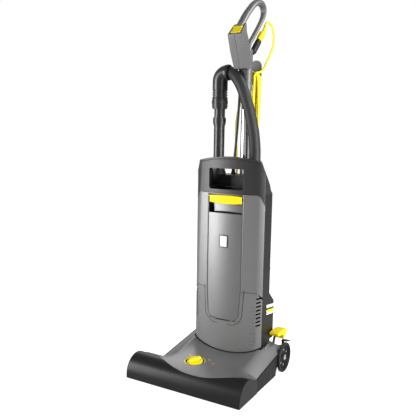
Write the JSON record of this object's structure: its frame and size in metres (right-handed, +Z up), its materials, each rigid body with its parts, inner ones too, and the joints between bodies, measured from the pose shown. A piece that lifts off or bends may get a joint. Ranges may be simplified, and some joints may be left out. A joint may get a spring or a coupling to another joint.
{
  "type": "upright vacuum cleaner",
  "caption": "Commercial upright vacuum cleaner: wide brush head, tilting bag body, chrome pole with looped grip, stored wand and hose, mains cord wound on two hooks.",
  "frame": {"origin": "on the floor, under the middle of the machine's bounding box without its free cord", "axes": "+Z up, the brush head's front towards -Y, +X to the machine's left as a user stands behind it"},
  "size_m": [0.3972, 0.4995, 1.188],
  "materials": {
    "black_hood": "fine-grained moulded black plastic",
    "chassis": "black glass-filled plastic",
    "sole": "worn steel sheet",
    "grey_cover": "fine-grained mid-grey plastic",
    "grey_shell": "fine-grained light grey plastic",
    "grey_door": "fine-grained light grey plastic",
    "lamp": "clear orange lens",
    "motor": "cast aluminium case",
    "steel": "bright drawn steel",
    "belt": "toothed rubber",
    "brush": "nylon bristles on a plastic core",
    "duct": "black plastic",
    "wheel": "dark grey plastic",
    "tyre": "soft rubber tread",
    "yellow": "satin yellow plastic",
    "housing": "grained black plastic",
    "cap": "grained black plastic",
    "seal": "soft rubber",
    "filter": "pleated filter fleece",
    "bag": "soft non-woven fleece",
    "card": "pressed card",
    "chrome": "polished chrome tube",
    "grip": "fine-grained grey plastic",
    "black_rubber": "flexible black rubber",
    "cord": "yellow cord jacket",
    "lead": "black cord jacket",
    "wand": "smooth black plastic tube",
    "hose": "ribbed black hose",
    "screw": "blackened steel"
  },
  "bodies": {
    "base": {"brush_hood": "black_hood", "base_chassis": "chassis", "sole_plate": "sole", "base_cover": "grey_cover", "load_lamp": "lamp", "brush_motor": "motor", "drive_belt": "belt", "brush_bearings": "duct", "suction_duct": "duct", "axle": "steel", "pedal_pin": "steel"},
    "motor_pulley": {"motor_pulley": "steel"},
    "brush_roller": {"brush_roller": "brush"},
    "wheel_left": {"wheel_left": "wheel", "tyre_left": "tyre"},
    "wheel_right": {"wheel_right": "wheel", "tyre_right": "tyre"},
    "height_knob": {"height_knob": "yellow"},
    "release_pedal": {"release_pedal": "yellow"},
    "bag_door": {"bag_door": "grey_door"},
    "door_latch": {"door_latch": "yellow"},
    "power_rocker": {"power_rocker": "yellow"},
    "upper_cord_hook": {"upper_cord_hook": "grip"},
    "upright": {"rear_housing": "housing", "front_shell": "grey_shell", "lower_cover": "grey_cover", "cap": "cap", "suction_motor": "motor", "motor_seal": "seal", "exhaust_filter": "filter", "motor_filter": "filter", "filter_bag": "bag", "bag_collar": "card", "riser_duct": "duct", "wand_socket": "duct", "hose_socket": "duct", "door_pins": "steel", "latch_pin": "steel", "handle_pole": "chrome", "pole_sleeve": "grip", "handle_left": "grip", "handle_right": "grip", "cord_inlet": "black_rubber", "cord_connector": "yellow", "lower_cord_hook": "duct", "handle_lead": "lead", "power_cord": "cord", "cord_winding": "cord", "mains_plug": "cord", "wand": "wand", "wand_collar": "wand", "wand_coupling": "wand", "elbow": "wand", "suction_hose": "hose", "hose_cuff": "black_rubber", "screws": "screw"}
  },
  "joints": [
    {"name": "body_tilt", "type": "hinge", "parent": "base", "child": "upright", "pos_m": [0.02637, 0.0843, 0.047], "axis": [-1, 0, 0], "range_deg": [0, 70]},
    {"name": "wheel_left_spin", "type": "hinge", "parent": "base", "child": "wheel_left", "pos_m": [-0.08712, 0.0843, 0.047], "axis": [1, 0, 0], "continuous": true},
    {"name": "wheel_right_spin", "type": "hinge", "parent": "base", "child": "wheel_right", "pos_m": [0.19362, 0.0843, 0.047], "axis": [1, 0, 0], "continuous": true},
    {"name": "brush_spin", "type": "hinge", "parent": "base", "child": "brush_roller", "pos_m": [0.02637, -0.1757, 0.0246], "axis": [1, 0, 0], "continuous": true},
    {"name": "motor_spin", "type": "hinge", "parent": "base", "child": "motor_pulley", "pos_m": [0.17238, -0.0867, 0.036], "axis": [1, 0, 0], "continuous": true},
    {"name": "height_knob_turn", "type": "hinge", "parent": "base", "child": "height_knob", "pos_m": [-0.00863, -0.1327, 0.067], "axis": [0, -0.1392, 0.9903], "range_deg": [-135, 135]},
    {"name": "pedal_press", "type": "hinge", "parent": "base", "child": "release_pedal", "pos_m": [0.16537, 0.1123, 0.104], "axis": [-1, 0, 0], "range_deg": [0, 12], "stiffness_Nm_per_rad": 1, "springref_deg": -11.46},
    {"name": "bag_door_hinge", "type": "hinge", "parent": "upright", "child": "bag_door", "pos_m": [0.02138, -0.0146, 0.171], "axis": [1, 0, 0], "range_deg": [0, 80]},
    {"name": "door_latch_pull", "type": "hinge", "parent": "upright", "child": "door_latch", "pos_m": [0.02138, -0.0097, 0.562], "axis": [-1, 0, 0], "range_deg": [0, 10], "stiffness_Nm_per_rad": 0.6, "springref_deg": -11.46},
    {"name": "power_rocker_tip", "type": "hinge", "parent": "upright", "child": "power_rocker", "pos_m": [0.02637, 0.03239, 1.06261], "axis": [-1, 0, 0], "range_deg": [0, 12]},
    {"name": "cord_hook_turn", "type": "hinge", "parent": "upright", "child": "upper_cord_hook", "pos_m": [0.02637, 0.1383, 0.931], "axis": [0, -1, 0], "range_deg": [0, 180]}
  ],
  "couplings": [
    {"joint": "motor_spin", "follows": "brush_spin", "ratio": 1.75}
  ]
}
